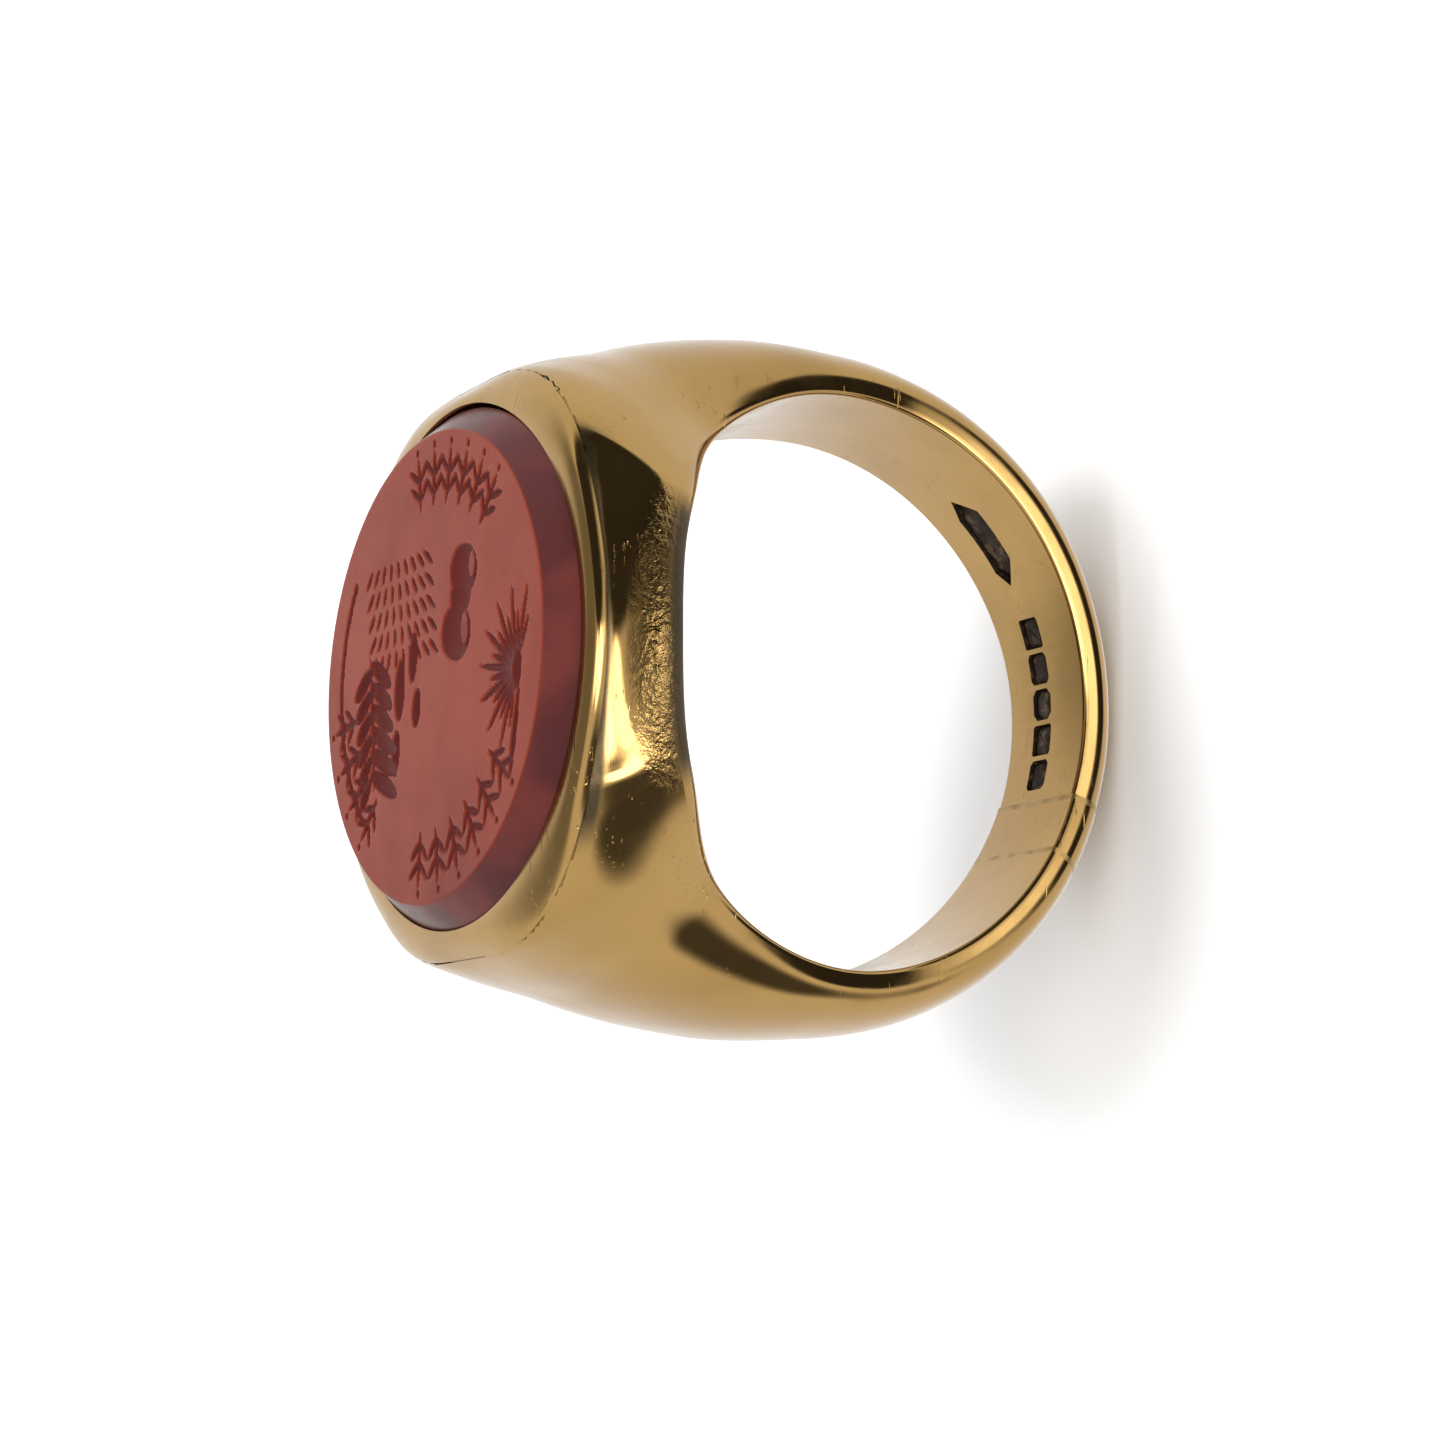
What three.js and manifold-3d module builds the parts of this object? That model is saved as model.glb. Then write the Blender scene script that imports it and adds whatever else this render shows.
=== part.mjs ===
// Signet ring with an oval intaglio seal stone. Millimetres, +Z up.
// The origin is the centre of the finger hole, the finger runs along Y, and the seal faces +Z.
import * as THREE from "three";
import { mergeVertices } from "three/addons/utils/BufferGeometryUtils.js";
import Module from "manifold-3d";

const wasm = await Module();
wasm.setup();

// ---- Driving dimensions ----
const BORE_R = 9.25;             // finger hole radius
const RIM_TOP_Z = 12.5;          // top of the setting rim above the bore axis
const RIM_SEAM_Z = 12.0;         // where the rim sits on the head
const RIM_HALF = { x: 8.5, y: 10.05 };     // outer half-axes of the rim
const GIRDLE_HALF = { x: 8.16, y: 9.46 };  // half-axes of the stone where its bevel starts
const STONE_BASE_HALF = { x: 7.5, y: 8.7 };
const STONE_BASE_Z = 10.75;
const TABLE_Z = 13.4;            // flat seal face of the stone
const TABLE_BEVEL = 0.78;        // how far the bevel draws the table in from the girdle
const BEDDING_THICKNESS = 0.25;
const BEDDING_INSET = 0.35;      // bedding edge inside the stone's base edge
const SETTING_CLEARANCE = 0.12;  // between the stone's side and the gold around it
const CHEEK_HOLLOW = 0.65;       // depth of the cove under the rim on each side of the head
const COVE_LEAN = 1.6;           // above 1 moves the cove's deepest line up towards the rim
const COVE_CENTRE = 3;           // degrees from the seal, towards +X, at the middle of the hollow
const COVE_REACH = 24;           // degrees from its middle at which it breaks into the shoulder
const COVE_SHARPNESS = 4;        // above 2 keeps the hollow deep until it breaks out
const SIZING = { from: 148.5, to: 159.8 }; // degrees round from the seal, on the -X side
const SEAM_WIDTH = 0.18;         // solder seam at each end of the sizing piece, in mm
const MARK_DEPTH = 0.16;         // depth of the punched cartouches inside the shank
const MARK_ACROSS = 0.27;        // how far the punched row sits off the middle of the band
const LOZENGE_DEG = 140.8;       // places of the punches, in degrees from the seal
const FIRST_SQUARE_DEG = 162.8;
const SQUARE_PITCH_DEG = 7.6;
const SQUARE_MARKS = 5;

// Stations round the ring in degrees from the seal, and the section's size at each.
const HALF_WIDTH = [[0, 10.15], [25, 8.9], [50, 5.75], [75, 4.3], [105, 3.1], [140, 2.65], [180, 2.35]];
const THICKNESS = [[34, 5.9], [50, 4.15], [70, 2.75], [90, 2.0], [125, 1.8], [180, 1.75]];
const SIDE_FACE = [[0, 0], [55, 0.05], [80, 0.3], [180, 0.35]];  // flat side wall beside the bore
const EDGE_ROLL = [[0, 0.55], [35, 0.5], [70, 0.2], [180, 0.12]]; // rounding where the side meets the bore
const ROUNDNESS = [[0, 2.7], [40, 2.6], [80, 2.05], [180, 2.1]]; // superellipse power of the dome

const SECTION_STEPS = 9;   // points up each half of a section
const ROLL_STEPS = 3;      // points round the edge beside the bore
const ELLIPSE_STEPS = 72;  // segments round the stone and the rim
const SHANK_STEP = 7.5;    // degrees between sections of the shank

// ---- Small helpers ----
const rad = THREE.MathUtils.degToRad;

// A monotone cubic through the stations, flat at both ends.
function alongStations(stations, deg) {
  const last = stations.length - 1;
  const x = THREE.MathUtils.clamp(deg, stations[0][0], stations[last][0]);
  let i = 0;
  while (i < last - 1 && x > stations[i + 1][0]) i++;
  const slope = (k) => (stations[k + 1][1] - stations[k][1]) / (stations[k + 1][0] - stations[k][0]);
  const tangent = (k) => {
    if (k === 0 || k === last) return 0;
    const before = slope(k - 1);
    const after = slope(k);
    return before * after <= 0 ? 0 : (2 * before * after) / (before + after);
  };
  const span = stations[i + 1][0] - stations[i][0];
  const t = (x - stations[i][0]) / span;
  const [y0, y1] = [stations[i][1], stations[i + 1][1]];
  const [m0, m1] = [tangent(i) * span, tangent(i + 1) * span];
  return (2 * t ** 3 - 3 * t * t + 1) * y0 + (t ** 3 - 2 * t * t + t) * m0
    + (3 * t * t - 2 * t ** 3) * y1 + (t ** 3 - t * t) * m1;
}

// A closed mesh from points and triangles, with repeated points joined.
function closedGeometry(points, triangles) {
  const loose = new THREE.BufferGeometry();
  loose.setAttribute("position", new THREE.Float32BufferAttribute(points.flat(), 3));
  loose.setIndex(triangles.flat());
  const merged = mergeVertices(loose, 1e-4);
  const index = merged.getIndex().array;
  const kept = [];
  for (let i = 0; i < index.length; i += 3) {
    const [a, b, c] = [index[i], index[i + 1], index[i + 2]];
    if (a !== b && b !== c && c !== a) kept.push(a, b, c);
  }
  merged.setIndex(kept);
  return merged;
}

function solidOf(geometry) {
  const bare = geometry.clone();
  bare.deleteAttribute("normal");
  bare.deleteAttribute("uv");
  const welded = mergeVertices(bare, 1e-4);
  return new wasm.Manifold(new wasm.Mesh({
    numProp: 3,
    vertProperties: new Float32Array(welded.getAttribute("position").array),
    triVerts: new Uint32Array(welded.getIndex().array),
  }));
}

function geometryOf(solid) {
  const mesh = solid.getMesh();
  const geometry = new THREE.BufferGeometry();
  geometry.setAttribute("position", new THREE.BufferAttribute(new Float32Array(mesh.vertProperties), 3));
  geometry.setIndex(new THREE.BufferAttribute(new Uint32Array(mesh.triVerts), 1));
  geometry.computeVertexNormals();
  return geometry;
}

// A solid made of ellipses stacked along Z, each { z, x, y } with its half-axes.
function ellipseStack(levels) {
  const points = [];
  const triangles = [];
  for (const { z, x, y } of levels) {
    for (let k = 0; k < ELLIPSE_STEPS; k++) {
      const turn = (2 * Math.PI * k) / ELLIPSE_STEPS;
      points.push([x * Math.cos(turn), y * Math.sin(turn), z]);
    }
  }
  const at = (level, k) => level * ELLIPSE_STEPS + (k % ELLIPSE_STEPS);
  for (let level = 0; level < levels.length - 1; level++) {
    for (let k = 0; k < ELLIPSE_STEPS; k++) {
      triangles.push([at(level, k), at(level, k + 1), at(level + 1, k + 1)]);
      triangles.push([at(level, k), at(level + 1, k + 1), at(level + 1, k)]);
    }
  }
  const top = levels.length - 1;
  for (let k = 1; k < ELLIPSE_STEPS - 1; k++) {
    triangles.push([at(0, 0), at(0, k + 1), at(0, k)]);
    triangles.push([at(top, 0), at(top, k), at(top, k + 1)]);
  }
  return closedGeometry(points, triangles);
}

const shrink = (half, by) => ({ x: half.x - by, y: half.y - by });

// ---- The ring's section at one angle round the finger ----
// Each section is a loop of [across, radius] points: the -Y flank upwards, the +Y flank down.
const HEAD_ANGLE = THREE.MathUtils.radToDeg(Math.atan2(RIM_HALF.x, RIM_TOP_Z)); // rim's end along X

function flank(deg, hollowDepth) {
  const away = Math.abs(deg);
  const width = alongStations(HALF_WIDTH, away);
  const roll = alongStations(EDGE_ROLL, away);
  const power = alongStations(ROUNDNESS, away);
  const onHead = away < HEAD_ANGLE;
  const ceiling = RIM_TOP_Z / Math.max(Math.cos(rad(away)), 0.01);
  const topR = onHead ? ceiling : Math.min(BORE_R + alongStations(THICKNESS, away), ceiling);
  const along = Math.min(1, (RIM_TOP_Z * Math.tan(rad(away))) / RIM_HALF.x);
  const rimAcross = onHead ? RIM_HALF.y * Math.sqrt(1 - along ** 2) : 0;
  const offCentre = Math.abs(deg - COVE_CENTRE) / COVE_REACH;
  const hollow = hollowDepth * Math.max(0, 1 - offCentre ** COVE_SHARPNESS);
  const points = [];
  for (let i = 0; i <= ROLL_STEPS; i++) {
    const turn = (Math.PI / 2) * (i / ROLL_STEPS);
    points.push([width - roll * (1 - Math.sin(turn)), BORE_R + roll * (1 - Math.cos(turn))]);
  }
  const base = BORE_R + roll + alongStations(SIDE_FACE, away);
  points.push([width, base]);
  for (let i = 1; i <= SECTION_STEPS; i++) {
    const turn = (Math.PI / 2) * (i / SECTION_STEPS);
    const lift = Math.sin(turn) ** (2 / power);
    const reach = Math.max(0, Math.cos(turn)) ** (2 / power);
    const cove = hollow * Math.sin(Math.PI * lift ** COVE_LEAN);
    points.push([rimAcross + (width - rimAcross) * reach - cove, base + (topR - base) * lift]);
  }
  return points;
}

function section(deg, hollowDepth) {
  const side = flank(deg, hollowDepth);
  const near = side.map(([across, radius]) => [-across, radius]);
  const far = side.slice().reverse();
  const place = ([across, radius]) => [radius * Math.sin(rad(deg)), across, radius * Math.cos(rad(deg))];
  return [...near, ...far].map(place);
}

// Joins sections into a skin with a flat cap at each end.
function skin(angles, hollowDepth = CHEEK_HOLLOW) {
  const loops = angles.map((deg) => section(deg, hollowDepth));
  const count = loops[0].length;
  const points = loops.flat();
  const at = (row, k) => row * count + (k % count);
  const triangles = [];
  const end = loops.length - 1;
  for (let row = 0; row < end; row++) {
    for (let k = 0; k < count; k++) {
      const [a, b, c, d] = [at(row, k), at(row + 1, k), at(row + 1, k + 1), at(row, k + 1)];
      const [pa, pb, pc, pd] = [a, b, c, d].map((i) => new THREE.Vector3(...points[i]));
      if (pa.distanceTo(pc) <= pb.distanceTo(pd)) triangles.push([a, b, c], [a, c, d]);
      else triangles.push([a, b, d], [b, c, d]);
    }
  }
  for (let k = 0; k < count / 2 - 1; k++) {
    const mirror = count - 1 - k;
    triangles.push([at(0, k), at(0, k + 1), at(0, mirror - 1)], [at(0, k), at(0, mirror - 1), at(0, mirror)]);
    triangles.push([at(end, k), at(end, mirror - 1), at(end, k + 1)]);
    triangles.push([at(end, k), at(end, mirror), at(end, mirror - 1)]);
  }
  return closedGeometry(points, triangles);
}

// Section angles: even round the shank, and following the rim's ellipse over the head.
function anglesBetween(from, to) {
  const steps = Math.max(1, Math.round((to - from) / SHANK_STEP));
  return Array.from({ length: steps + 1 }, (_, i) => from + ((to - from) * i) / steps);
}

function headAngles() {
  const quarter = 10;
  const angles = [];
  for (let i = -quarter; i <= quarter; i++) {
    const x = RIM_HALF.x * Math.sin((Math.PI / 2) * (i / quarter));
    angles.push(THREE.MathUtils.radToDeg(Math.atan2(x, RIM_TOP_Z)));
  }
  return angles;
}

// ---- Pieces ----
const SEAM_DEG = THREE.MathUtils.radToDeg(SEAM_WIDTH / BORE_R);

// The main casting runs from one end of the sizing piece, over the head, to the other end.
function ringBlank(hollowDepth) {
  const head = headAngles();
  const onward = anglesBetween(HEAD_ANGLE, 360 - SIZING.to - SEAM_DEG).slice(1);
  const back = anglesBetween(-(SIZING.from - SEAM_DEG), -HEAD_ANGLE).slice(0, -1);
  return skin([...back, ...head, ...onward], hollowDepth);
}

const WIDE = 60;

function slab(fromZ, toZ) {
  const box = new THREE.BoxGeometry(WIDE, WIDE, toZ - fromZ);
  box.translate(0, 0, (fromZ + toZ) / 2);
  return solidOf(box);
}

// The seat cut for the stone: its own shape plus the setting clearance, down to the bedding.
const SEAT_FLOOR_Z = STONE_BASE_Z - BEDDING_THICKNESS;

function seatTool() {
  const floor = shrink(STONE_BASE_HALF, -SETTING_CLEARANCE);
  const mouth = shrink(GIRDLE_HALF, -SETTING_CLEARANCE);
  return solidOf(ellipseStack([
    { z: SEAT_FLOOR_Z, ...floor },
    { z: STONE_BASE_Z, ...floor },
    { z: RIM_TOP_Z, ...mouth },
    { z: RIM_TOP_Z + 2, ...mouth },
  ]));
}

// One punched recess: a short prism of the given outline, pushed into the bore wall.
function punch(outline, deg, across) {
  const shape = new THREE.Shape(outline.map(([u, v]) => new THREE.Vector2(u, v)));
  const prism = new THREE.ExtrudeGeometry(shape, { depth: 2, bevelEnabled: false });
  prism.translate(0, 0, MARK_DEPTH - 2);
  // The prism's depth runs outwards along the radius, its u axis runs round the bore.
  const a = rad(deg);
  const outwards = new THREE.Vector3(Math.sin(a), 0, Math.cos(a));
  const round = new THREE.Vector3(Math.cos(a), 0, -Math.sin(a));
  const sideways = new THREE.Vector3().crossVectors(outwards, round);
  const place = new THREE.Matrix4().makeBasis(round, sideways, outwards);
  place.setPosition(outwards.multiplyScalar(BORE_R).add(new THREE.Vector3(0, across, 0)));
  prism.applyMatrix4(place);
  return solidOf(prism);
}

function rectangle(long, wide) {
  const [u, v] = [long / 2, wide / 2];
  return [[-u, -v], [u, -v], [u, v], [-u, v]];
}

// A pointed cartouche and a row of five square ones, inside the shank opposite the seal.
function punches() {
  const lozenge = [[-1.78, 0.6], [-1.13, -0.3], [0.87, -0.3], [1.78, 0.43], [1.22, 0.95], [-0.95, 1.05]];
  const marks = [punch(lozenge, LOZENGE_DEG, 0)];
  for (let i = 0; i < SQUARE_MARKS; i++) {
    marks.push(punch(rectangle(1.05, 1.1), FIRST_SQUARE_DEG + i * SQUARE_PITCH_DEG, MARK_ACROSS));
  }
  return marks;
}

function ringBody() {
  let solid = solidOf(ringBlank(CHEEK_HOLLOW));
  solid = solid.subtract(slab(RIM_SEAM_Z, RIM_SEAM_Z + 10)).subtract(seatTool());
  for (const mark of punches()) solid = solid.subtract(mark);
  return geometryOf(solid);
}

// The rim stands a little proud of the hollowed cheeks and runs flush into the shoulders.
function bezelRim() {
  const band = solidOf(ringBlank(0)).intersect(slab(RIM_SEAM_Z, RIM_TOP_Z + 1));
  return geometryOf(band.subtract(seatTool()));
}

function sealStone() {
  return ellipseStack([
    { z: STONE_BASE_Z, ...STONE_BASE_HALF },
    { z: RIM_TOP_Z, ...GIRDLE_HALF },
    { z: TABLE_Z, ...shrink(GIRDLE_HALF, TABLE_BEVEL) },
  ]);
}

function stoneBedding() {
  const outline = shrink(STONE_BASE_HALF, BEDDING_INSET);
  return ellipseStack([{ z: SEAT_FLOOR_Z, ...outline }, { z: STONE_BASE_Z, ...outline }]);
}

const sizingPiece = () => skin(anglesBetween(-SIZING.to, -SIZING.from));
const seamBetween = (from, to) => skin([from, to]);

// ---- Assembly ----
const gold = new THREE.MeshStandardMaterial({ color: 0xb4904f, roughness: 0.28, metalness: 1 });
const solder = new THREE.MeshStandardMaterial({ color: 0xa8894c, roughness: 0.4, metalness: 1 });
const carnelian = new THREE.MeshStandardMaterial({ color: 0x95483c, roughness: 0.25, metalness: 0 });
const cement = new THREE.MeshStandardMaterial({ color: 0x8d7a5e, roughness: 0.9, metalness: 0 });

const group = new THREE.Group();

function add(name, geometry, material) {
  const mesh = new THREE.Mesh(geometry, material);
  mesh.name = name;
  group.add(mesh);
}

add("ring_body", ringBody(), gold);
add("bezel_rim", bezelRim(), gold);
add("seal_stone", sealStone(), carnelian);
add("stone_bedding", stoneBedding(), cement);
add("sizing_piece", sizingPiece(), gold);
add("solder_seam_low", seamBetween(-SIZING.from, -SIZING.from + SEAM_DEG), solder);
add("solder_seam_high", seamBetween(-SIZING.to - SEAM_DEG, -SIZING.to), solder);

export default group;
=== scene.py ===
"""Signet ring: builds the visible pieces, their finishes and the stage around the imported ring."""
import math

import bpy
import numpy as np
from mathutils import Matrix, Vector


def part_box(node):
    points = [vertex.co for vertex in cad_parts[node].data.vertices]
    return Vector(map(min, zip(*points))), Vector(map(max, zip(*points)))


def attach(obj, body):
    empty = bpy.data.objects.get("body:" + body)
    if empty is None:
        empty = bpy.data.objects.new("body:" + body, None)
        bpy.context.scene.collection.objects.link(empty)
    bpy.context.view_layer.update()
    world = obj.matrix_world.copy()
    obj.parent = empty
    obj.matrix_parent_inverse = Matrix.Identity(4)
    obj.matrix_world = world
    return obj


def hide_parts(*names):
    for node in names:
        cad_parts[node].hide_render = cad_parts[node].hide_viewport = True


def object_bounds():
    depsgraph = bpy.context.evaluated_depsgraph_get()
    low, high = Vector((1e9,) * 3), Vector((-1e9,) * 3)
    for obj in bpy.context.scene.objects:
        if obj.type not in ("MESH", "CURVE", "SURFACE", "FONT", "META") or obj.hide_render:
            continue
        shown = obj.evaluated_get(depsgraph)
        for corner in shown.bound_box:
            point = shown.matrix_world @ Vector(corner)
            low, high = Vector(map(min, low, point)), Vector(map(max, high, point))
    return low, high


bl_info = {
    "name": "Signet Ring",
    "version": (1, 0, 0),
    "blender": (4, 5, 0),
    "location": "View3D > Sidebar > Signet Ring",
    "description": "Gold signet ring with a cut seal stone",
    "category": "Object",
}

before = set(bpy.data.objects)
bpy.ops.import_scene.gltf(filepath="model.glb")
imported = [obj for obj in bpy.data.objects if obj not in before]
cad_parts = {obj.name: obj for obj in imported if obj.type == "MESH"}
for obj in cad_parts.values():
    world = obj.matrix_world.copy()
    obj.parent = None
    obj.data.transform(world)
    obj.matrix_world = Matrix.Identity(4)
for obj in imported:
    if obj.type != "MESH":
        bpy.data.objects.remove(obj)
CAD_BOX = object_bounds()

MM = 0.001
BODY = "root"
SAME_PLACE = 1e-7  # points closer than this, in metres, are one point

# ---- Sizes of the ring, in millimetres ----
STONE_LOW, STONE_HIGH = (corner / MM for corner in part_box("seal_stone"))
RIM_LOW, RIM_HIGH = (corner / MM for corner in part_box("bezel_rim"))
BORE_R = 9.25
RIM_TOP_Z = RIM_HIGH.z
SEAM_Z = RIM_LOW.z
RIM_HALF = (8.5, 10.05)
GIRDLE_HALF = (STONE_HIGH.x, STONE_HIGH.y)
STONE_BASE_HALF = (7.5, 8.7)
STONE_BASE_Z = STONE_LOW.z
TABLE_Z = STONE_HIGH.z
TABLE_BEVEL = 0.78
SEAT_DEPTH = 0.25
SEAT_CLEARANCE = 0.12
CUTTER_ABOVE = 2
HEAD_ANGLE = math.degrees(math.atan2(RIM_HALF[0], RIM_TOP_Z))
SIZING = (148.5, 159.8)  # the sizing piece's ends, in degrees from the seal
SEAM_WIDTH = 0.18
SEAM_DEG = math.degrees(SEAM_WIDTH / BORE_R)

# Stations round the ring: each pair is an angle in degrees from the seal and a value in millimetres,
# but ROUNDNESS is the power of the section's curve, where 2 is an ellipse.
HALF_WIDTH = ((0, 10.15), (25, 8.9), (50, 5.75), (75, 4.3), (105, 3.1), (140, 2.65), (180, 2.35))
THICKNESS = ((34, 5.9), (50, 4.15), (70, 2.75), (90, 2.0), (125, 1.8), (180, 1.75))
SIDE_FACE = ((0, 0), (55, 0.05), (80, 0.3), (180, 0.35))
EDGE_ROLL = ((0, 0.8), (35, 0.6), (70, 0.2), (180, 0.12))
ROUNDNESS = ((0, 2.7), (40, 2.6), (80, 2.05), (180, 2.1))

# How far the corner between head and shoulder is eased, in millimetres, and where the rim's ellipse
# is left for a soft tail and the tail ends, as shares of the ellipse's half length.
HEAD_ROUNDING = 0.8
RIM_TAIL = (0.78, 1.3)

# The cove under the rim: its depth in millimetres, how far up the cheek its middle lies (1 is halfway),
# its middle and half length in degrees, and how suddenly it ends.
CHEEK_HOLLOW = 0.65
COVE_LEAN = 1.6
COVE_CENTRE = 3.0
COVE_REACH = 24.0
COVE_SHARPNESS = 4

# Steps of a half section (round the hole's edge, up the side, over the dome) and round the ring.
SECTION_STEPS = (6, 3, 44)
HEAD_SECTIONS = 44
SHOULDER_DEG = 6
SHOULDER_STEP = 0.5
SHANK_STEP = 1.0
SIZING_STEP = 0.8

# The burnished rim, in millimetres unless a note says otherwise.
RIM_OVERLAP = 0.012       # how far its foot sinks into the head
RIM_STEPS = (480, 48)     # points round the rim and round its section
RIM_CURVE_STEPS = 20      # pieces in the curve of its outer side
LIP_RISE = 0.04           # its lip above the girdle of the stone
LIP_GAP = 0.03            # between lip and stone
LIP_GAP_AT_END = 0.16     # what the gap gains at the stone's +X end
LIP_EDGE = (0.03, 0.05)   # the lip's rounded edge, across and down
INNER_DROP = 0.1          # from the girdle down to the bend inside
INNER_GAP = (0.7, 0.01)   # there: a share of the lip's gap, and what is added to it
FOOT_GAP = 0.02           # between the rim's foot and the stone
SLOPE_STEP = 0.06         # how far below the seam the head's slope is measured
FLATTEST_RISE = 0.35      # least share of that slope that goes up, a number
ROUND_SIDE, ROUND_END = 0.85, 0.45  # fullness of the section at the sides and at the ends, 0 to 1
END_STARTS = (0.5, 0.75)  # cosines of the turns between which sides pass into ends
OUTSIDE = 30              # from the axis to a place that is clear of the ring

# The stone's top: grid cells across, and its softened edge as (drop, growth) in millimetres.
TABLE_CELLS = 250
TABLE_EDGE = ((0.012, 0.03), (0.04, 0.055))
TABLE_MARGIN = 0.02  # share of the table's radius over which cuts fade out at its edge
BEVEL_STARTS = 0.03  # below the table
FULL_CUT = 0.14      # a cut this deep has the full colour of the cuts

# Edges that turn by more than these angles stay crisp.
GOLD_CREASE = 32
RIM_CREASE = 50
STONE_CREASE = 28

# The studio: a white tent with dark cards and softboxes in it. For each, its turn from the front
# towards +X and its height above the ring, its inner and outer angle, all in degrees, and its strength.
STUDIO_LIGHT = 1.0
STUDIO = (
    (0, 90, 40, 66, 0.3),      # open ceiling
    (43, 3, 33, 44, 0.05),     # dark card right of the front
    (22, -60, 15, 22, 0.04),   # dark card low in front
    (-52, -32, 14, 28, 0.1),   # dark card left of the front
    (-7, -20, 11, 17, 7.0),    # softbox, lower half
    (-8, 8, 9, 15, 5.5),       # softbox, upper half
    (6, -34, 3, 7, 3.0),       # strip light under the softbox
)

# Punched marks inside the shank: places in degrees and millimetres.
MARK_DEPTH = 0.16
MARK_BORDER = 0.2
BOSS_HEIGHT = 0.5  # share of the depth
PUNCH_LENGTH = 1.5
MARK_ACROSS = 0.27
LOZENGE_DEG = 140.8
LOZENGE = ((-1.78, 0.6), (-1.13, -0.3), (0.87, -0.3), (1.78, 0.43), (1.22, 0.95), (-0.95, 1.05))
FIRST_SQUARE_DEG = 162.8
SQUARE_PITCH_DEG = 7.6
SQUARE_MARKS = 5
SQUARE_HALF = (0.53, 0.55)
SQUARE_NICKS = (0.08, 0.15, 0.22)

# Where the cheeks are crinkled, where shade is painted under the rim and where a dark reflection is painted
# along the cheeks' hole edge. Each pair is where the effect starts and where it is full, in degrees from the
# seal or in millimetres.
CHEEK_DEG = 27
CHEEK_ACROSS = 8.2
WEAR_PAST_BORE = (BORE_R, BORE_R + 0.8)
WEAR_BY_HEIGHT = (11.5, 10.7)
WEAR_BY_RADIUS = (11.2, 10.6)
# How strong the painted shade is in the crease under the rim's overhang, and where it lies.
RIM_SHADE = 0.85
RIM_SHADE_ACROSS = 6
RIM_SHADE_HEIGHT = (SEAM_Z - 0.52, SEAM_Z - 0.36)
RIM_SHADE_DEG = (29, 25)
# How strong the painted dark reflection is along the cheeks' hole edge, and where it lies.
HOLE_DARK_REFLECTION = 0.8
HOLE_DARK_REFLECTION_RADIUS = (BORE_R + 0.95, BORE_R + 0.55)
HOLE_DARK_REFLECTION_DEG = (27, 22)
HOLE_DARK_REFLECTION_FROM_SIDE = (-0.8, -0.6)
# Where painted shade darkens the rim's lip in the gap beside the stone.
LIP_SHADE_GAP = (0.09, 0.0)
LIP_SHADE_HEIGHT = (12.6, 12.48)

# Colours, and the roughness of the gold at its most polished.
POLISH = 0.08
GOLD = (0.5, 0.31, 0.108)
# Near-black colour for the painted shade and painted dark reflection on the gold.
PAINTED_SHADE_COLOUR = (0.045, 0.04, 0.03)
RECESS_DARK, RECESS_GLINT = (0.035, 0.02, 0.012), (0.16, 0.09, 0.04)
SOLDER = (0.46, 0.3, 0.11)
SOLDER_DULL = (0.38, 0.24, 0.09)
CEMENT_DARK, CEMENT_PALE = (0.2, 0.14, 0.08), (0.33, 0.26, 0.17)
CARNELIAN = (0.185, 0.028, 0.013)
# Painted shade for the stone's bevel, darker than the table because of how light falls on it.
BEVEL_SHADE_DARK, BEVEL_SHADE_PALE = (0.07, 0.018, 0.018), (0.115, 0.026, 0.022)
# Painted shade in the stone's wheel cuts.
STONE_CUT_SHADE_COLOUR = (0.085, 0.014, 0.012)
PAPER = ((0.9, 0.9, 0.9), (0.92, 0.92, 0.92))

# The stage, in metres. A lamp has its name, place, width and power in watts.
FLOOR_WIDTH = 1.6
LAMPS = (("key_softbox", (0.08, -0.03, 0.30), 0.12, 0.6),
         ("fill_softbox", (0.0, -0.30, 0.26), 0.25, 0.3))
CAMERA_PLACE = (-0.01747, -0.10453, 0.05637)
CAMERA_RIGHT = (-0.0016, -0.4538, -0.8911)
CAMERA_UP = (0.9904, -0.1239, 0.0614)
CAMERA_LENS = 91.08
CAMERA_SENSOR = 36
CAMERA_CLIP = (0.005, 10)


def along(stations, deg):
    """A monotone cubic through the stations, flat at both ends."""
    last = len(stations) - 1
    x = min(max(deg, stations[0][0]), stations[last][0])
    i = 0
    while i < last - 1 and x > stations[i + 1][0]:
        i += 1

    def slope(k):
        return (stations[k + 1][1] - stations[k][1]) / (stations[k + 1][0] - stations[k][0])

    def tangent(k):
        if k in (0, last):
            return 0.0
        before, after = slope(k - 1), slope(k)
        return 0.0 if before * after <= 0 else 2 * before * after / (before + after)

    span = stations[i + 1][0] - stations[i][0]
    t = (x - stations[i][0]) / span
    y0, y1 = stations[i][1], stations[i + 1][1]
    m0, m1 = tangent(i) * span, tangent(i + 1) * span
    return ((2 * t**3 - 3 * t * t + 1) * y0 + (t**3 - 2 * t * t + t) * m0
            + (3 * t * t - 2 * t**3) * y1 + (t**3 - t * t) * m1)


def soft_min(a, b, reach):
    """The smaller of two numbers, eased where they are closer than the reach."""
    share = min(max(0.5 + 0.5 * (b - a) / reach, 0.0), 1.0)
    return b + (a - b) * share - reach * share * (1 - share)


def rim_tail(along_rim):
    """Half breadth of the rim's ellipse against its length, both from 0 to 1, eased out past its end."""
    leaves, ends = RIM_TAIL
    if along_rim >= ends:
        return 0.0
    if along_rim <= leaves:
        return math.sqrt(1 - along_rim**2)
    height = math.sqrt(1 - leaves**2)
    t = (along_rim - leaves) / (ends - leaves)
    slope = -leaves / height * (ends - leaves)
    return (2 * t**3 - 3 * t * t + 1) * height + (t**3 - 2 * t * t + t) * slope


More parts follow.
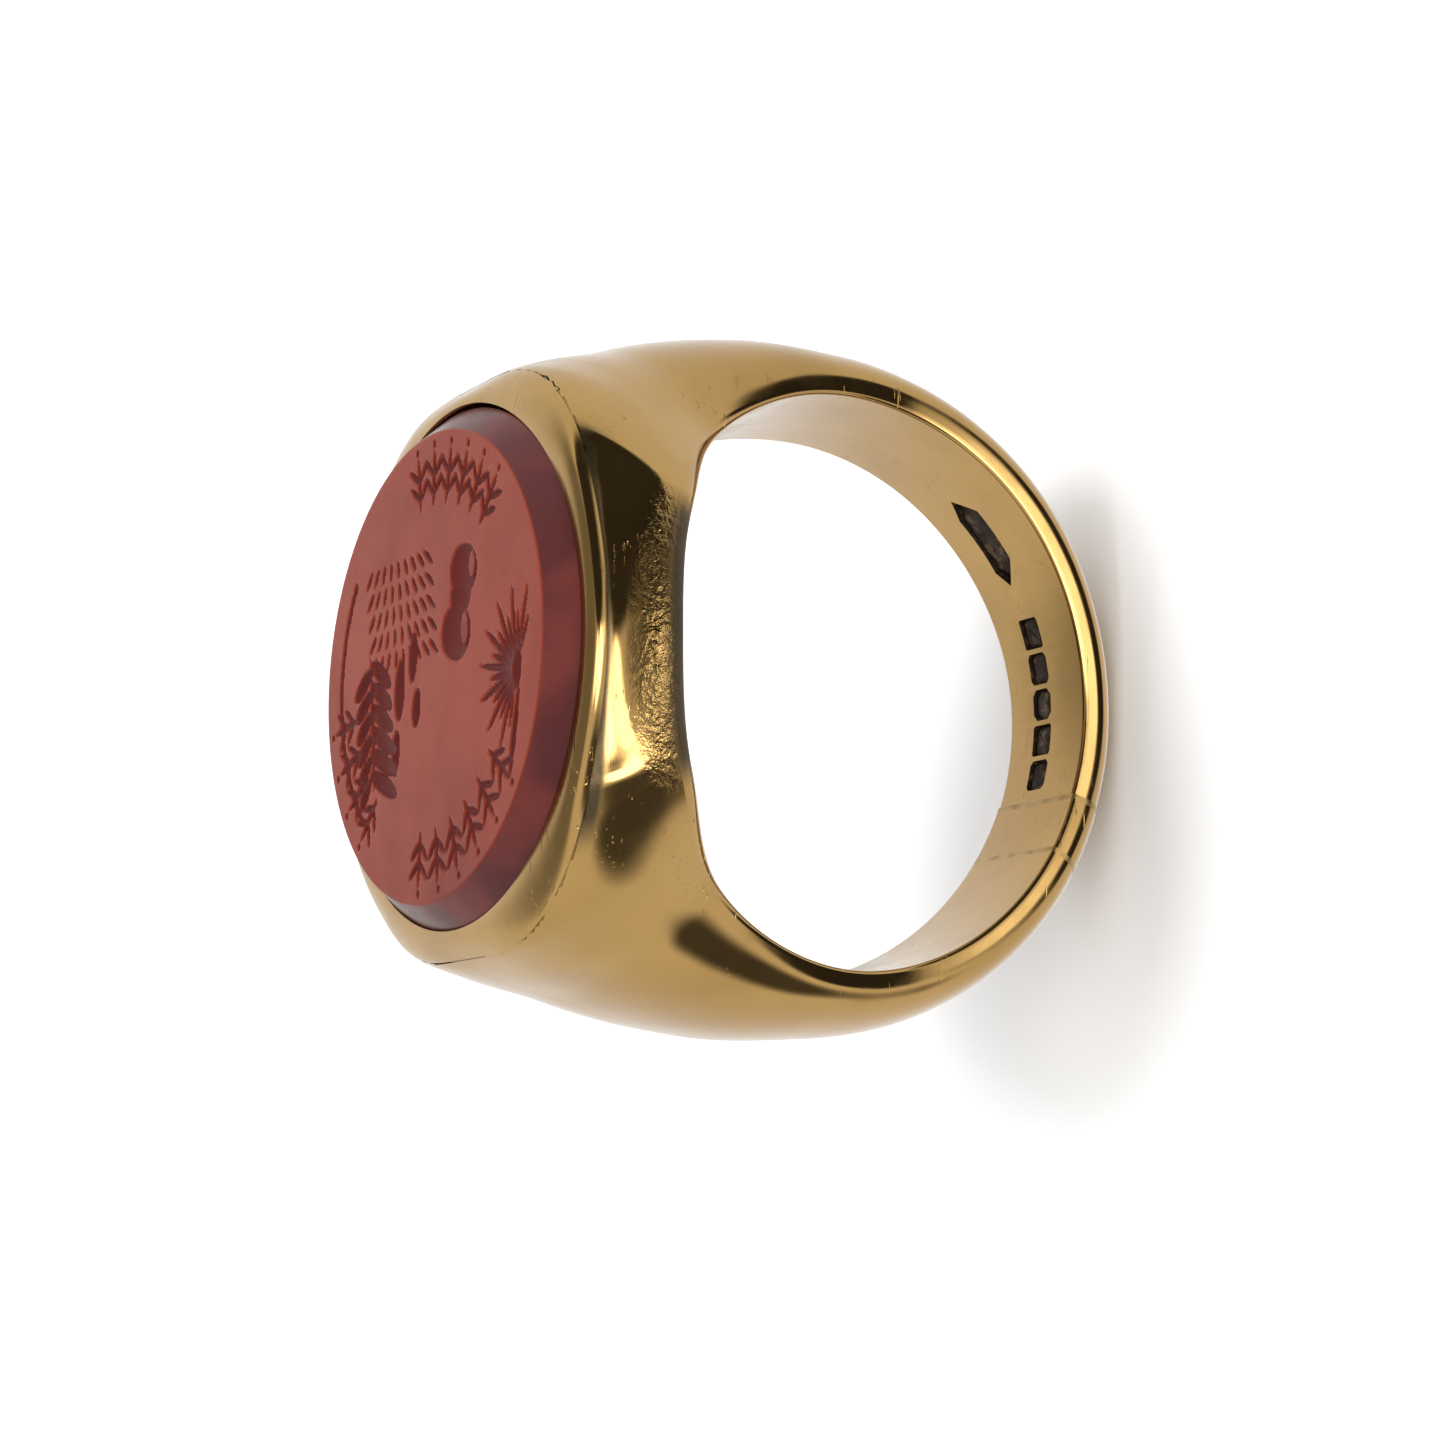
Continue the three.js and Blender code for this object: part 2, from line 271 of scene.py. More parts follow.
def flank(deg, hollow_depth, roll_steps, side_steps, dome_steps):
    """Half a section of the ring at one angle: (across, radius) from the bore's edge to the top."""
    away = abs(deg)
    width = along(HALF_WIDTH, away)
    roll = along(EDGE_ROLL, away)
    power = along(ROUNDNESS, away)
    ceiling = RIM_TOP_Z / max(math.cos(math.radians(away)), 0.01)
    top = soft_min(ceiling, BORE_R + along(THICKNESS, away), HEAD_ROUNDING)
    rim_across = RIM_HALF[1] * rim_tail(RIM_TOP_Z * math.tan(math.radians(min(away, 60))) / RIM_HALF[0])
    hollow = hollow_depth * max(0.0, 1 - (abs(deg - COVE_CENTRE) / COVE_REACH) ** COVE_SHARPNESS)
    points = []
    for i in range(roll_steps + 1):
        turn = math.pi / 2 * i / roll_steps
        points.append((width - roll * (1 - math.sin(turn)), BORE_R + roll * (1 - math.cos(turn))))
    side = along(SIDE_FACE, away)
    base = BORE_R + roll + side
    for i in range(1, side_steps + 1):
        points.append((width, BORE_R + roll + side * i / side_steps))
    for i in range(1, dome_steps + 1):
        turn = math.pi / 2 * i / dome_steps
        lift = math.sin(turn) ** (2 / power)
        reach = max(0.0, math.cos(turn)) ** (2 / power)
        cove = hollow * math.sin(math.pi * lift**COVE_LEAN)
        points.append((rim_across + (width - rim_across) * reach - cove, base + (top - base) * lift))
    return points


def section(deg, hollow_depth):
    """The closed section of the ring at one angle, as points in metres."""
    side = flank(deg, hollow_depth, *SECTION_STEPS)
    loop = [(-across, radius) for across, radius in side] + side[::-1]
    s, c = math.sin(math.radians(deg)), math.cos(math.radians(deg))
    return [Vector((radius * s, across, radius * c)) * MM for across, radius in loop]


# ---- Modelling helpers ----
def clear_selection():
    if bpy.context.object and bpy.context.object.mode != "OBJECT":
        bpy.ops.object.mode_set(mode="OBJECT")
    bpy.ops.object.select_all(action="DESELECT")


def make_active(piece):
    clear_selection()
    piece.select_set(True)
    bpy.context.view_layer.objects.active = piece


def named(name):
    """The mesh that was just added, under its own name."""
    piece = bpy.context.object
    piece.name = name
    piece.data.name = name
    return piece


def select_where(piece, test, mode="VERT"):
    """Enters edit mode with just the vertices, edges or faces chosen that pass the test."""
    make_active(piece)
    bpy.ops.object.mode_set(mode="EDIT")
    bpy.ops.mesh.select_mode(type=mode)
    bpy.ops.mesh.select_all(action="DESELECT")
    bpy.ops.object.mode_set(mode="OBJECT")
    items = {"VERT": piece.data.vertices, "EDGE": piece.data.edges, "FACE": piece.data.polygons}[mode]
    for item in items:
        item.select = bool(test(item))
    bpy.ops.object.mode_set(mode="EDIT")


def everything(item):
    """A test for select_where that chooses all."""
    return True


def leave_edit(piece):
    bpy.ops.object.mode_set(mode="OBJECT")
    return piece


def face_outwards(piece):
    """Turns every face of a closed mesh outwards."""
    select_where(piece, everything)
    bpy.ops.mesh.normals_make_consistent(inside=False)
    return leave_edit(piece)


def widen(before, after):
    """Scales the selection across the axis from one ellipse's half sizes to the next's."""
    bpy.ops.transform.resize(value=(after[0] / before[0], after[1] / before[1], 1),
                             center_override=(0, 0, 0))


def points_of(piece):
    """The piece's points in metres, one row each."""
    flat = np.empty(len(piece.data.vertices) * 3)
    piece.data.vertices.foreach_get("co", flat)
    return flat.reshape(-1, 3)


def paint(piece, name, values):
    """Keeps one number at each point of the piece for its finish to read."""
    layer = piece.data.attributes.new(name, "FLOAT", "POINT")
    layer.data.foreach_set("value", values.astype(np.float32))


def ramp(values, start, full):
    """0 up to the start, 1 from full on, and a straight rise between them."""
    return np.clip((values - start) / (full - start), 0, 1)


def apply_modifiers(piece):
    make_active(piece)
    for modifier in list(piece.modifiers):
        bpy.ops.object.modifier_apply(modifier=modifier.name)


def smooth(piece, degrees):
    make_active(piece)
    bpy.ops.object.shade_smooth_by_angle(angle=math.radians(degrees), keep_sharp_edges=True)


def settle(piece, node, slot, material):
    """Gives a finished piece its material and its body and hides the imported node it stands for; the slot
    is not used.
    """
    if not piece.data.materials:
        piece.data.materials.append(material)
    else:
        piece.data.materials[0] = material
    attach(piece, BODY)
    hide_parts(node)


def cut(piece, cutter, keeps_finish=False):
    """Cuts one closed mesh from another and removes the cutter."""
    modifier = piece.modifiers.new("cut", "BOOLEAN")
    modifier.operation = "DIFFERENCE"
    modifier.solver = "EXACT"
    modifier.object = cutter
    if keeps_finish:
        modifier.material_mode = "TRANSFER"
    apply_modifiers(piece)
    bpy.data.objects.remove(cutter, do_unlink=True)


def band(name, angles, hollow_depth=0.0):
    """A run of the ring's section with a flat cap at each end, wrapped from a grid."""
    loops = [section(deg, hollow_depth) for deg in angles]
    rows, cols = len(loops), len(loops[0])
    clear_selection()
    bpy.ops.mesh.primitive_grid_add(x_subdivisions=rows - 1, y_subdivisions=cols, size=2)
    piece = named(name)
    for vertex in piece.data.vertices:
        row = round((vertex.co.x + 1) / 2 * (rows - 1))
        col = round((vertex.co.y + 1) / 2 * cols) % cols
        vertex.co = loops[row][col]
    select_where(piece, everything)
    bpy.ops.mesh.remove_doubles(threshold=SAME_PLACE)
    leave_edit(piece)
    for end in (loops[0], loops[-1]):
        corners = {tuple(round(c, 8) for c in point) for point in end}
        select_where(piece, lambda v: tuple(round(c, 8) for c in v.co) in corners)
        bpy.ops.mesh.edge_face_add()
        leave_edit(piece)
    return face_outwards(piece)


def even(start, stop, step):
    """Numbers from start to stop, as near the step apart as whole steps allow."""
    count = max(1, round((stop - start) / step))
    return [start + (stop - start) * i / count for i in range(count + 1)]


def ring_angles():
    """Close-set sections over the head and wider ones round the shank."""
    head = [math.degrees(math.atan2(RIM_HALF[0] * math.sin(math.pi / 2 * i / HEAD_SECTIONS), RIM_TOP_Z))
            for i in range(-HEAD_SECTIONS, HEAD_SECTIONS + 1)]
    shoulder = HEAD_ANGLE + SHOULDER_DEG
    start = -(SIZING[0] - SEAM_DEG)
    end = 360 - SIZING[1] - SEAM_DEG
    before = even(start, -shoulder, SHANK_STEP) + even(-shoulder, -HEAD_ANGLE, SHOULDER_STEP)[1:-1]
    after = even(HEAD_ANGLE, shoulder, SHOULDER_STEP)[1:] + even(shoulder, end, SHANK_STEP)[1:]
    return before + head + after


def ellipse_stack(name, levels, sides=256):
    """A closed solid of ellipses stacked along Z, grown from a flat disc by extruding its rim."""
    clear_selection()
    z, half = levels[0]
    bpy.ops.mesh.primitive_circle_add(vertices=sides, radius=1, fill_type="NGON")
    piece = named(name)
    to_first_level = Matrix.Diagonal((half[0] * MM, half[1] * MM, 1, 1))
    piece.data.transform(Matrix.Translation((0, 0, z * MM)) @ to_first_level)
    for (z0, half0), (z1, half1) in zip(levels, levels[1:]):
        select_where(piece, lambda f: abs(f.center.z - z0 * MM) < SAME_PLACE, "FACE")
        bpy.ops.mesh.extrude_region_move(TRANSFORM_OT_translate={"value": (0, 0, (z1 - z0) * MM)})
        widen(half0, half1)
        leave_edit(piece)
    return face_outwards(piece)


def grown(half, by):
    """An ellipse's half sizes with the same amount added to both."""
    return (half[0] + by, half[1] + by)


def seat_cutter():
    """The solid that cuts the stone's seat and opens it upwards."""
    floor = grown(STONE_BASE_HALF, SEAT_CLEARANCE)
    mouth = grown(GIRDLE_HALF, SEAT_CLEARANCE)
    floor_z = STONE_BASE_Z - SEAT_DEPTH
    levels = [(floor_z, floor), (STONE_BASE_Z, floor), (RIM_TOP_Z, mouth), (RIM_TOP_Z + CUTTER_ABOVE, mouth)]
    return ellipse_stack("seat", levels)


# ---- Material helpers ----
class Finish:
    """A small builder for a node material on Object coordinates."""

    def __init__(self, name):
        self.material = bpy.data.materials.new(name)
        self.material.use_nodes = True
        self.nodes = self.material.node_tree.nodes
        self.links = self.material.node_tree.links
        self.shader = self.nodes["Principled BSDF"]
        self.place = self.nodes.new("ShaderNodeTexCoord").outputs["Object"]

    def set(self, **values):
        for name, value in values.items():
            self.shader.inputs[name.replace("_", " ")].default_value = value

    def join(self, source, target):
        self.links.new(source, target)

    def mapped(self, scale=(1, 1, 1), turn=(0, 0, 0)):
        node = self.nodes.new("ShaderNodeMapping")
        node.inputs["Scale"].default_value = scale
        node.inputs["Rotation"].default_value = [math.radians(a) for a in turn]
        self.join(self.place, node.inputs["Vector"])
        return node.outputs["Vector"]

    def noise(self, scale, detail=4, roughness=0.5, vector=None, distortion=0.0):
        node = self.nodes.new("ShaderNodeTexNoise")
        node.inputs["Scale"].default_value = scale
        node.inputs["Detail"].default_value = detail
        node.inputs["Roughness"].default_value = roughness
        node.inputs["Distortion"].default_value = distortion
        self.join(vector or self.place, node.inputs["Vector"])
        return node.outputs["Fac"]

    def spots(self, scale, vector=None):
        node = self.nodes.new("ShaderNodeTexVoronoi")
        node.inputs["Scale"].default_value = scale
        self.join(vector or self.place, node.inputs["Vector"])
        return node.outputs["Distance"]

    def span(self, value, low, high, to_low=0.0, to_high=1.0):
        node = self.nodes.new("ShaderNodeMapRange")
        node.interpolation_type = "SMOOTHSTEP"
        for name, number in (("From Min", low), ("From Max", high), ("To Min", to_low), ("To Max", to_high)):
            node.inputs[name].default_value = number
        self.join(value, node.inputs["Value"])
        return node.outputs["Result"]

    def math(self, kind, a, b):
        node = self.nodes.new("ShaderNodeMath")
        node.operation = kind
        for socket, value in zip(node.inputs, (a, b)):
            if isinstance(value, (int, float)):
                socket.default_value = value
            else:
                self.join(value, socket)
        return node.outputs["Value"]

    def blend(self, factor, first, second):
        node = self.nodes.new("ShaderNodeMix")
        node.data_type = "RGBA"
        self.join(factor, node.inputs["Factor"])
        for socket, value in ((node.inputs[6], first), (node.inputs[7], second)):
            if isinstance(value, tuple):
                socket.default_value = (*value, 1)
            else:
                self.join(value, socket)
        return node.outputs[2]

    def attribute(self, name):
        node = self.nodes.new("ShaderNodeAttribute")
        node.attribute_name = name
        return node.outputs["Fac"]

    def bump(self, height, distance, strength=1.0, before=None):
        node = self.nodes.new("ShaderNodeBump")
        node.inputs["Distance"].default_value = distance
        node.inputs["Strength"].default_value = strength
        self.join(height, node.inputs["Height"])
        if before:
            self.join(before, node.inputs["Normal"])
        return node.outputs["Normal"]

    def colour(self, value):
        self.join(value, self.shader.inputs["Base Color"])

    def rough(self, value):
        self.join(value, self.shader.inputs["Roughness"])

    def normal(self, value):
        self.join(value, self.shader.inputs["Normal"])


def scratches(finish, turn, scale, thin):
    """Long thin lines: noise stretched along one direction and cut to its crests."""
    stretched = finish.mapped(scale=(0.04, 1, 1), turn=turn)
    lines = finish.noise(scale, detail=2, vector=stretched)
    broken = finish.noise(420, detail=1)
    crest = finish.span(lines, thin, thin + 0.035)
    return finish.math("MULTIPLY", crest, finish.span(broken, 0.5, 0.66))


def gold_finish():
    """Polished gold with fine scratches, crinkled where it is worn, with near-black painted shade under the
    rim and at its lip and a painted dark reflection along the cheeks' hole edge.
    """
    gold = tuple(bpy.context.scene.ring_settings.gold)
    finish = Finish("worn_gold")
    finish.set(Metallic=1.0)
    tone = finish.span(finish.noise(160, detail=5), 0.3, 0.7)
    dull = tuple(c * f for c, f in zip(gold, (0.82, 0.8, 0.78)))
    body = finish.blend(tone, gold, dull)
    # Painted shade and painted dark reflection, which also roughen the gold.
    painted_shade = finish.attribute("painted_shade")
    wear = finish.attribute("wear")
    dusty = finish.blend(wear, body, tuple(c * 0.5 for c in gold))
    finish.colour(finish.blend(painted_shade, dusty, PAINTED_SHADE_COLOUR))
    marks = finish.math("MAXIMUM", scratches(finish, (20, 35, 10), 5200, 0.68),
                        scratches(finish, (70, -25, 60), 6000, 0.69))
    more = finish.math("MAXIMUM", marks, scratches(finish, (-35, 60, -20), 4600, 0.69))
    pits = finish.span(finish.spots(700), 0.02, 0.09, 1.0, 0.0)
    kept = finish.math("MULTIPLY", pits, finish.span(finish.noise(230, detail=2), 0.55, 0.7))
    haze = finish.span(finish.noise(300, detail=6, roughness=0.65), 0.35, 0.7, 0.0, 0.13)
    rough = finish.math("ADD", finish.math("ADD", haze, finish.math("MULTIPLY", wear, 0.16)), POLISH)
    finish.rough(finish.math("ADD", rough, finish.math("MULTIPLY", painted_shade, 0.4)))
    waves = finish.bump(finish.noise(190, detail=3), 0.00006, 0.35)
    crinkle = finish.math("MULTIPLY", finish.noise(3600, detail=3, roughness=0.6), wear)
    waves = finish.bump(crinkle, 0.00016, 0.8, waves)
    lines = finish.math("ADD", more, finish.math("MULTIPLY", kept, 0.4))
    finish.normal(finish.bump(finish.math("MULTIPLY", lines, -1.0), 0.00002, 0.7, waves))
    return finish.material


def recess_finish():
    """Tarnish in the floors of the punched marks, with painted glints in paler patches."""
    finish = Finish("tarnished_recess")
    finish.set(Metallic=0.6)
    glint = finish.span(finish.noise(2600, detail=3), 0.52, 0.66)
    finish.colour(finish.blend(glint, RECESS_DARK, RECESS_GLINT))
    finish.rough(finish.span(finish.noise(1800, detail=2), 0.3, 0.7, 0.45, 0.8))
    finish.normal(finish.bump(finish.noise(3000, detail=2), 0.00004, 0.6))
    return finish.material


def solder_finish():
    """Paler, duller gold for the joints."""
    solder = tuple(bpy.context.scene.ring_settings.solder)
    finish = Finish("gold_solder")
    finish.set(Metallic=1.0)
    tone = finish.span(finish.noise(900, detail=3), 0.35, 0.65)
    finish.colour(finish.blend(tone, solder, SOLDER_DULL))
    finish.rough(finish.span(finish.noise(1500, detail=2), 0.3, 0.7, 0.25, 0.5))
    finish.normal(finish.bump(finish.noise(1400, detail=3), 0.00003, 0.6))
    return finish.material


def cement_finish():
    """Grainy setter's cement."""
    finish = Finish("setters_cement")
    grain = finish.noise(1600, detail=5)
    finish.colour(finish.blend(finish.span(grain, 0.3, 0.7), CEMENT_DARK, CEMENT_PALE))
    finish.rough(finish.span(grain, 0.2, 0.8, 0.8, 0.95))
    finish.normal(finish.bump(grain, 0.0001, 0.5))
    return finish.material


def carnelian_finish():
    """Clouded red carnelian, with painted shade on its bevel and in the wheel cuts."""
    settings = bpy.context.scene.ring_settings
    red = tuple(settings.stone)
    finish = Finish("carnelian")
    finish.set(IOR=1.54, Subsurface_Weight=0.12, Subsurface_Scale=0.0012)
    finish.shader.inputs["Specular IOR Level"].default_value = 0.08
    finish.shader.inputs["Subsurface Radius"].default_value = (1.0, 0.22, 0.12)
    cloud = finish.span(finish.noise(110, detail=4, roughness=0.6), 0.3, 0.75)
    deep = tuple(c * f for c, f in zip(red, (0.62, 0.5, 0.5)))
    agate = finish.blend(cloud, red, deep)
    # Painted shade on the bevel, in darker copies of the red.
    bevel_cloud = finish.span(finish.noise(260, detail=2), 0.4, 0.62)
    bevel_shade = finish.blend(bevel_cloud, BEVEL_SHADE_DARK, BEVEL_SHADE_PALE)
    sided = finish.blend(finish.attribute("bevel"), agate, bevel_shade)
    # The cut mask darkens the colour as painted shade, and also roughens and tools the cuts.
    cut_away = finish.span(finish.attribute("cut"), 0.02, 0.5)
    finish.colour(finish.blend(cut_away, sided, tuple(settings.stone_cut_shade)))
    haze = finish.span(finish.noise(700, detail=5), 0.35, 0.7, 0.16, 0.3)
    finish.rough(finish.math("ADD", haze, finish.math("MULTIPLY", cut_away, 0.3)))
    fine = finish.bump(finish.noise(420, detail=2), 0.00003, 0.3)
    tooled = finish.math("MULTIPLY", finish.noise(5200, detail=2), cut_away)
    finish.normal(finish.bump(tooled, 0.00003, 0.5, fine))
    return finish.material


# ---- The cut device on the stone ----
def device_cuts():
    """Wheel cuts on the seal face: (x0, y0, x1, y1, half width, depth), in millimetres."""
    cuts = []
    half = (GIRDLE_HALF[0] - TABLE_BEVEL, GIRDLE_HALF[1] - TABLE_BEVEL)

    def on_arc(turn, k):
        return half[0] * k * math.cos(math.radians(turn)), half[1] * k * math.sin(math.radians(turn))

    def sprig(turn, inner=0.70, outer=0.92):
        x0, y0 = on_arc(turn, inner)
        x1, y1 = on_arc(turn, outer)
        cuts.append((x0, y0, x1, y1, 0.13, 0.14))
        for k in (0.74, 0.82):
            stem = on_arc(turn, k)
            for side in (-5.2, 5.2):
                leaf = on_arc(turn + side, k + 0.075)
                cuts.append((*stem, *leaf, 0.12, 0.13))
        cuts.append((*on_arc(turn, 0.955), *on_arc(turn + 0.5, 0.955), 0.12, 0.12))

    for i in range(6):
        sprig(7 - i * 9.6)
    for i in range(6):
        sprig(175 + i * 11.4)
    for i in range(4):
        sprig(100 + i * 12)
    for i in range(24):
        turn = 56 + i * 3.2
        cuts.append((*on_arc(turn, 0.86), *on_arc(turn + 3.4, 0.86), 0.16, 0.14))
    # A two-lobed seed pod.
    cuts.append((2.85, -2.75, 2.45, -2.7, 1.05, 0.26))
    cuts.append((2.0, -2.5, 1.75, -2.5, 0.8, 0.24))
    cuts.append((1.0, -2.2, 0.6, -2.15, 1.15, 0.28))
    # A sunburst beside the near edge.
    for i in range(17):
        turn = math.radians(-78 + i * 12.5)
        reach = 2.5 if i % 2 else 1.7
        start = (-0.95 + 0.35 * math.sin(turn), -6.7 + 0.35 * math.cos(turn))
        end = (-0.95 + reach * math.sin(turn), -6.7 + reach * 1.05 * math.cos(turn))
        cuts.append((*start, *end, 0.12, 0.12))
    cuts.append((-0.55, -6.85, -1.35, -6.75, 0.36, 0.24))
    cuts.append((-1.5, -6.95, -4.1, -6.35, 0.2, 0.16))
    # A hatched fan.
    for row in range(5):
        for i in range(9):
            x, y = 3.5 - row * 0.72, 5.0 - i * 0.62 - row * 0.12
            lean = 0.07 * (i - 4)
            cuts.append((x + 0.24, y + lean + 0.1, x - 0.22, y - lean, 0.11, 0.12))
    # A leafy branch along the far side.
    cuts.append((0.9, 4.9, -3.3, 4.5, 0.16, 0.16))
    for i in range(6):
        x = 0.7 - i * 0.72
        cuts.append((x, 4.7, x - 0.75, 3.3 - 0.12 * i, 0.32, 0.26))
        cuts.append((x - 0.2, 4.9, x - 0.9, 6.1 - 0.1 * i, 0.3, 0.26))
    for x, y, long, wide in ((-0.4, 2.3, 0.75, 0.42), (0.5, 1.2, 0.6, 0.34), (-1.15, 0.9, 0.42, 0.34),
                             (-2.4, 2.6, 0.55, 0.34)):
        cuts.append((x + long, y, x - long, y + 0.15, wide, 0.26))
    return cuts


# Parts of the pod left standing: centre and half lengths in millimetres, then the share of the
# cut's depth that they fill, and how far into each its slope reaches.
ISLANDS = ((2.75, -3.3, 0.5, 0.3), (0.85, -2.75, 0.62, 0.36))
ISLAND_HEIGHT = 0.85
ISLAND_SLOPE = 0.4


def engraved_depth(x, y):
    """How deep the wheel cuts are at each point, in millimetres, as one array."""
    depth = np.zeros_like(x)
    for x0, y0, x1, y1, wide, deep in device_cuts():
        mid = ((x0 + x1) / 2, (y0 + y1) / 2)
        length = math.hypot(x1 - x0, y1 - y0) / 2 + wide * 0.6
        dx, dy = (x1 - x0), (y1 - y0)
        norm = math.hypot(dx, dy) or 1.0
        t = ((x - mid[0]) * dx + (y - mid[1]) * dy) / norm / length
        s = ((y - mid[1]) * dx - (x - mid[0]) * dy) / norm / wide
        lens = np.clip(1 - t**2 - s**2, 0, None)
        depth = np.maximum(depth, deep * np.sqrt(lens))
    for x0, y0, long, wide in ISLANDS:
        island = 1 - ((x - x0) / long) ** 2 - ((y - y0) / wide) ** 2
        depth *= 1 - ISLAND_HEIGHT * ramp(island, 0, ISLAND_SLOPE)
    return depth


# ---- Pieces ----
def wear_and_painted_shade(piece):
    """Marks the crinkled cheeks, and the painted shade under the rim and the painted dark reflection along
    the cheeks' hole edge.
    """
    x, y, z = (points_of(piece) / MM).T
    away = np.abs(np.degrees(np.arctan2(x, z)))
    across = np.abs(y)
    radius = np.hypot(x, z)
    on_cheek = np.clip(1 - (away / CHEEK_DEG) ** 4, 0, 1) * ramp(radius, *WEAR_PAST_BORE)
    below = ramp(radius, *WEAR_BY_RADIUS) * ramp(z, *WEAR_BY_HEIGHT)
    paint(piece, "wear", on_cheek * (across > CHEEK_ACROSS) * below)
    # Painted shade in the crease under the rim's overhang.
    under_rim = ramp(z, *RIM_SHADE_HEIGHT) * ramp(away, *RIM_SHADE_DEG) * (across > RIM_SHADE_ACROSS)
    width = np.interp(away, *zip(*HALF_WIDTH))
    # Painted dark reflection along the cheeks' hole edge.
    hole_edge = ramp(radius, *HOLE_DARK_REFLECTION_RADIUS) * ramp(away, *HOLE_DARK_REFLECTION_DEG)
    hole_edge = hole_edge * ramp(across - width, *HOLE_DARK_REFLECTION_FROM_SIDE)
    paint(piece, "painted_shade", np.maximum(under_rim * RIM_SHADE, hole_edge * HOLE_DARK_REFLECTION))


def mark_cutter(name, outline, deg, across):
    """One punch: a short prism standing in the bore wall, hollowed so that it leaves a plain boss."""
    depth = bpy.context.scene.ring_settings.mark_depth
    clear_selection()
    bpy.ops.mesh.primitive_circle_add(vertices=len(outline), radius=1, fill_type="NGON")
    piece = named(name)
    for vertex, (u, v) in zip(piece.data.vertices, outline):
        vertex.co = (u * MM, v * MM, depth)
    select_where(piece, everything, "FACE")
    bpy.ops.mesh.inset(thickness=MARK_BORDER * MM, depth=0)
    leave_edit(piece)
    inner = [f.index for f in piece.data.polygons if f.select]
    select_where(piece, lambda f: f.index in inner, "FACE")
    bpy.ops.transform.translate(value=(0, 0, -BOSS_HEIGHT * depth))
    leave_edit(piece)
    outer = {v.index for v in piece.data.vertices if v.co.z > depth - SAME_PLACE}
    select_where(piece, lambda e: set(e.vertices) <= outer, "EDGE")
    bpy.ops.mesh.extrude_edges_move(TRANSFORM_OT_translate={"value": (0, 0, -PUNCH_LENGTH * MM)})
    bpy.ops.mesh.edge_face_add()
    leave_edit(piece)
    face_outwards(piece)
    a = math.radians(deg)
    outwards = Vector((math.sin(a), 0, math.cos(a)))
    round_bore = Vector((math.cos(a), 0, -math.sin(a)))
    sideways = Vector((0, 1, 0))
    place = Matrix((round_bore, sideways, outwards)).transposed().to_4x4()
    place.translation = outwards * BORE_R * MM + Vector((0, across * MM, 0))
    piece.data.transform(place)
    return piece


def square(half_long, half_wide, nick):
    """A punch outline with its corners nicked off."""
    a, b = half_long, half_wide
    return ((-a + nick, -b), (a - nick, -b), (a, -b + nick), (a, b - nick),
            (a - nick, b), (-a + nick, b), (-a, b - nick), (-a, -b + nick))


def make_ring_body():
    """The band with its head cut flat for the rim, the seat sunk in it and the marks punched inside."""
    piece = band("ring_casting", ring_angles(), bpy.context.scene.ring_settings.cheek_hollow / MM)
    select_where(piece, everything)
    bpy.ops.mesh.bisect(plane_co=(0, 0, SEAM_Z * MM), plane_no=(0, 0, 1), use_fill=True, clear_outer=True)
    leave_edit(piece)
    piece.data.materials.append(gold_finish())
    cut(piece, seat_cutter())
    recess = recess_finish()
    punches = [mark_cutter("lozenge", LOZENGE, LOZENGE_DEG, 0.0)]
    for i in range(SQUARE_MARKS):
        outline = square(*SQUARE_HALF, SQUARE_NICKS[i % len(SQUARE_NICKS)])
        punches.append(mark_cutter("square", outline, FIRST_SQUARE_DEG + i * SQUARE_PITCH_DEG, MARK_ACROSS))
    for punch in punches:
        punch.data.materials.append(recess)
        cut(piece, punch, keeps_finish=True)
    wear_and_painted_shade(piece)
    at_seam = {v.index for v in piece.data.vertices if abs(v.co.z - SEAM_Z * MM) < SAME_PLACE}
    select_where(piece, lambda e: set(e.vertices) <= at_seam, "EDGE")
    bpy.ops.mesh.mark_sharp()
    leave_edit(piece)
    smooth(piece, GOLD_CREASE)
    settle(piece, "ring_body", "gold", piece.data.materials[0])


def make_sizing_piece():
    """The length of band let into the back of the shank, and its two solder joints."""
    gold = bpy.data.materials["worn_gold"]
    solder = solder_finish()
    runs = (("sizing_insert", -SIZING[1], -SIZING[0], "sizing_piece", "gold", gold),
            ("solder_joint_low", -SIZING[0], -SIZING[0] + SEAM_DEG, "solder_seam_low", "solder", solder),
            ("solder_joint_high", -SIZING[1] - SEAM_DEG, -SIZING[1], "solder_seam_high", "solder", solder))
    for name, start, stop, node, slot, material in runs:
        piece = band(name, even(start, stop, SIZING_STEP))
        smooth(piece, GOLD_CREASE)
        settle(piece, node, slot, material)


def stone_radius(turn, z):
    """Distance from the axis to the stone's side at one height, in a given direction."""
    t = (z - STONE_BASE_Z) / (RIM_TOP_Z - STONE_BASE_Z)
    if t <= 1:
        half = [b + (g - b) * t for b, g in zip(STONE_BASE_HALF, GIRDLE_HALF)]
    else:
        drawn = TABLE_BEVEL * (z - RIM_TOP_Z) / (TABLE_Z - RIM_TOP_Z)
        half = grown(GIRDLE_HALF, -drawn)
    return 1 / math.hypot(math.cos(turn) / half[0], math.sin(turn) / half[1])


